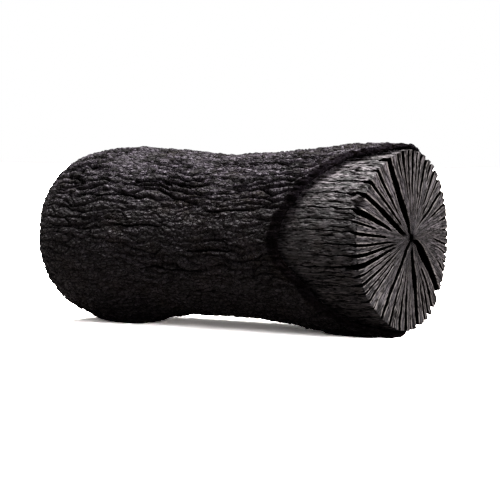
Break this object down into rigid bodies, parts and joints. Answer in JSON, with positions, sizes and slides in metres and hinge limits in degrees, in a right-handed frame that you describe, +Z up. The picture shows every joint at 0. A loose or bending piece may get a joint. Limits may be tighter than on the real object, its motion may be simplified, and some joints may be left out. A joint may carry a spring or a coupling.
{
  "type": "charcoal lump",
  "caption": "Charred log lying on its side: wood split along its rays at the sawn ends, in a sleeve of ridged bark that has broken back from one end.",
  "frame": {"origin": "on the surface that the log lies on, below the middle of its length and width", "axes": "+X along the log towards the sawn face where the bark has broken back, +Z up from the surface"},
  "size_m": [0.1714, 0.082, 0.082],
  "materials": {
    "charred_bark": "matt and crumbly, charred through, with deep furrows along the log",
    "charred_wood": "dull to faintly silky, charred through, with open radial splits"
  },
  "bodies": {
    "root": {"bark_sleeve": "charred_bark", "wood_core": "charred_wood"}
  },
  "joints": []
}
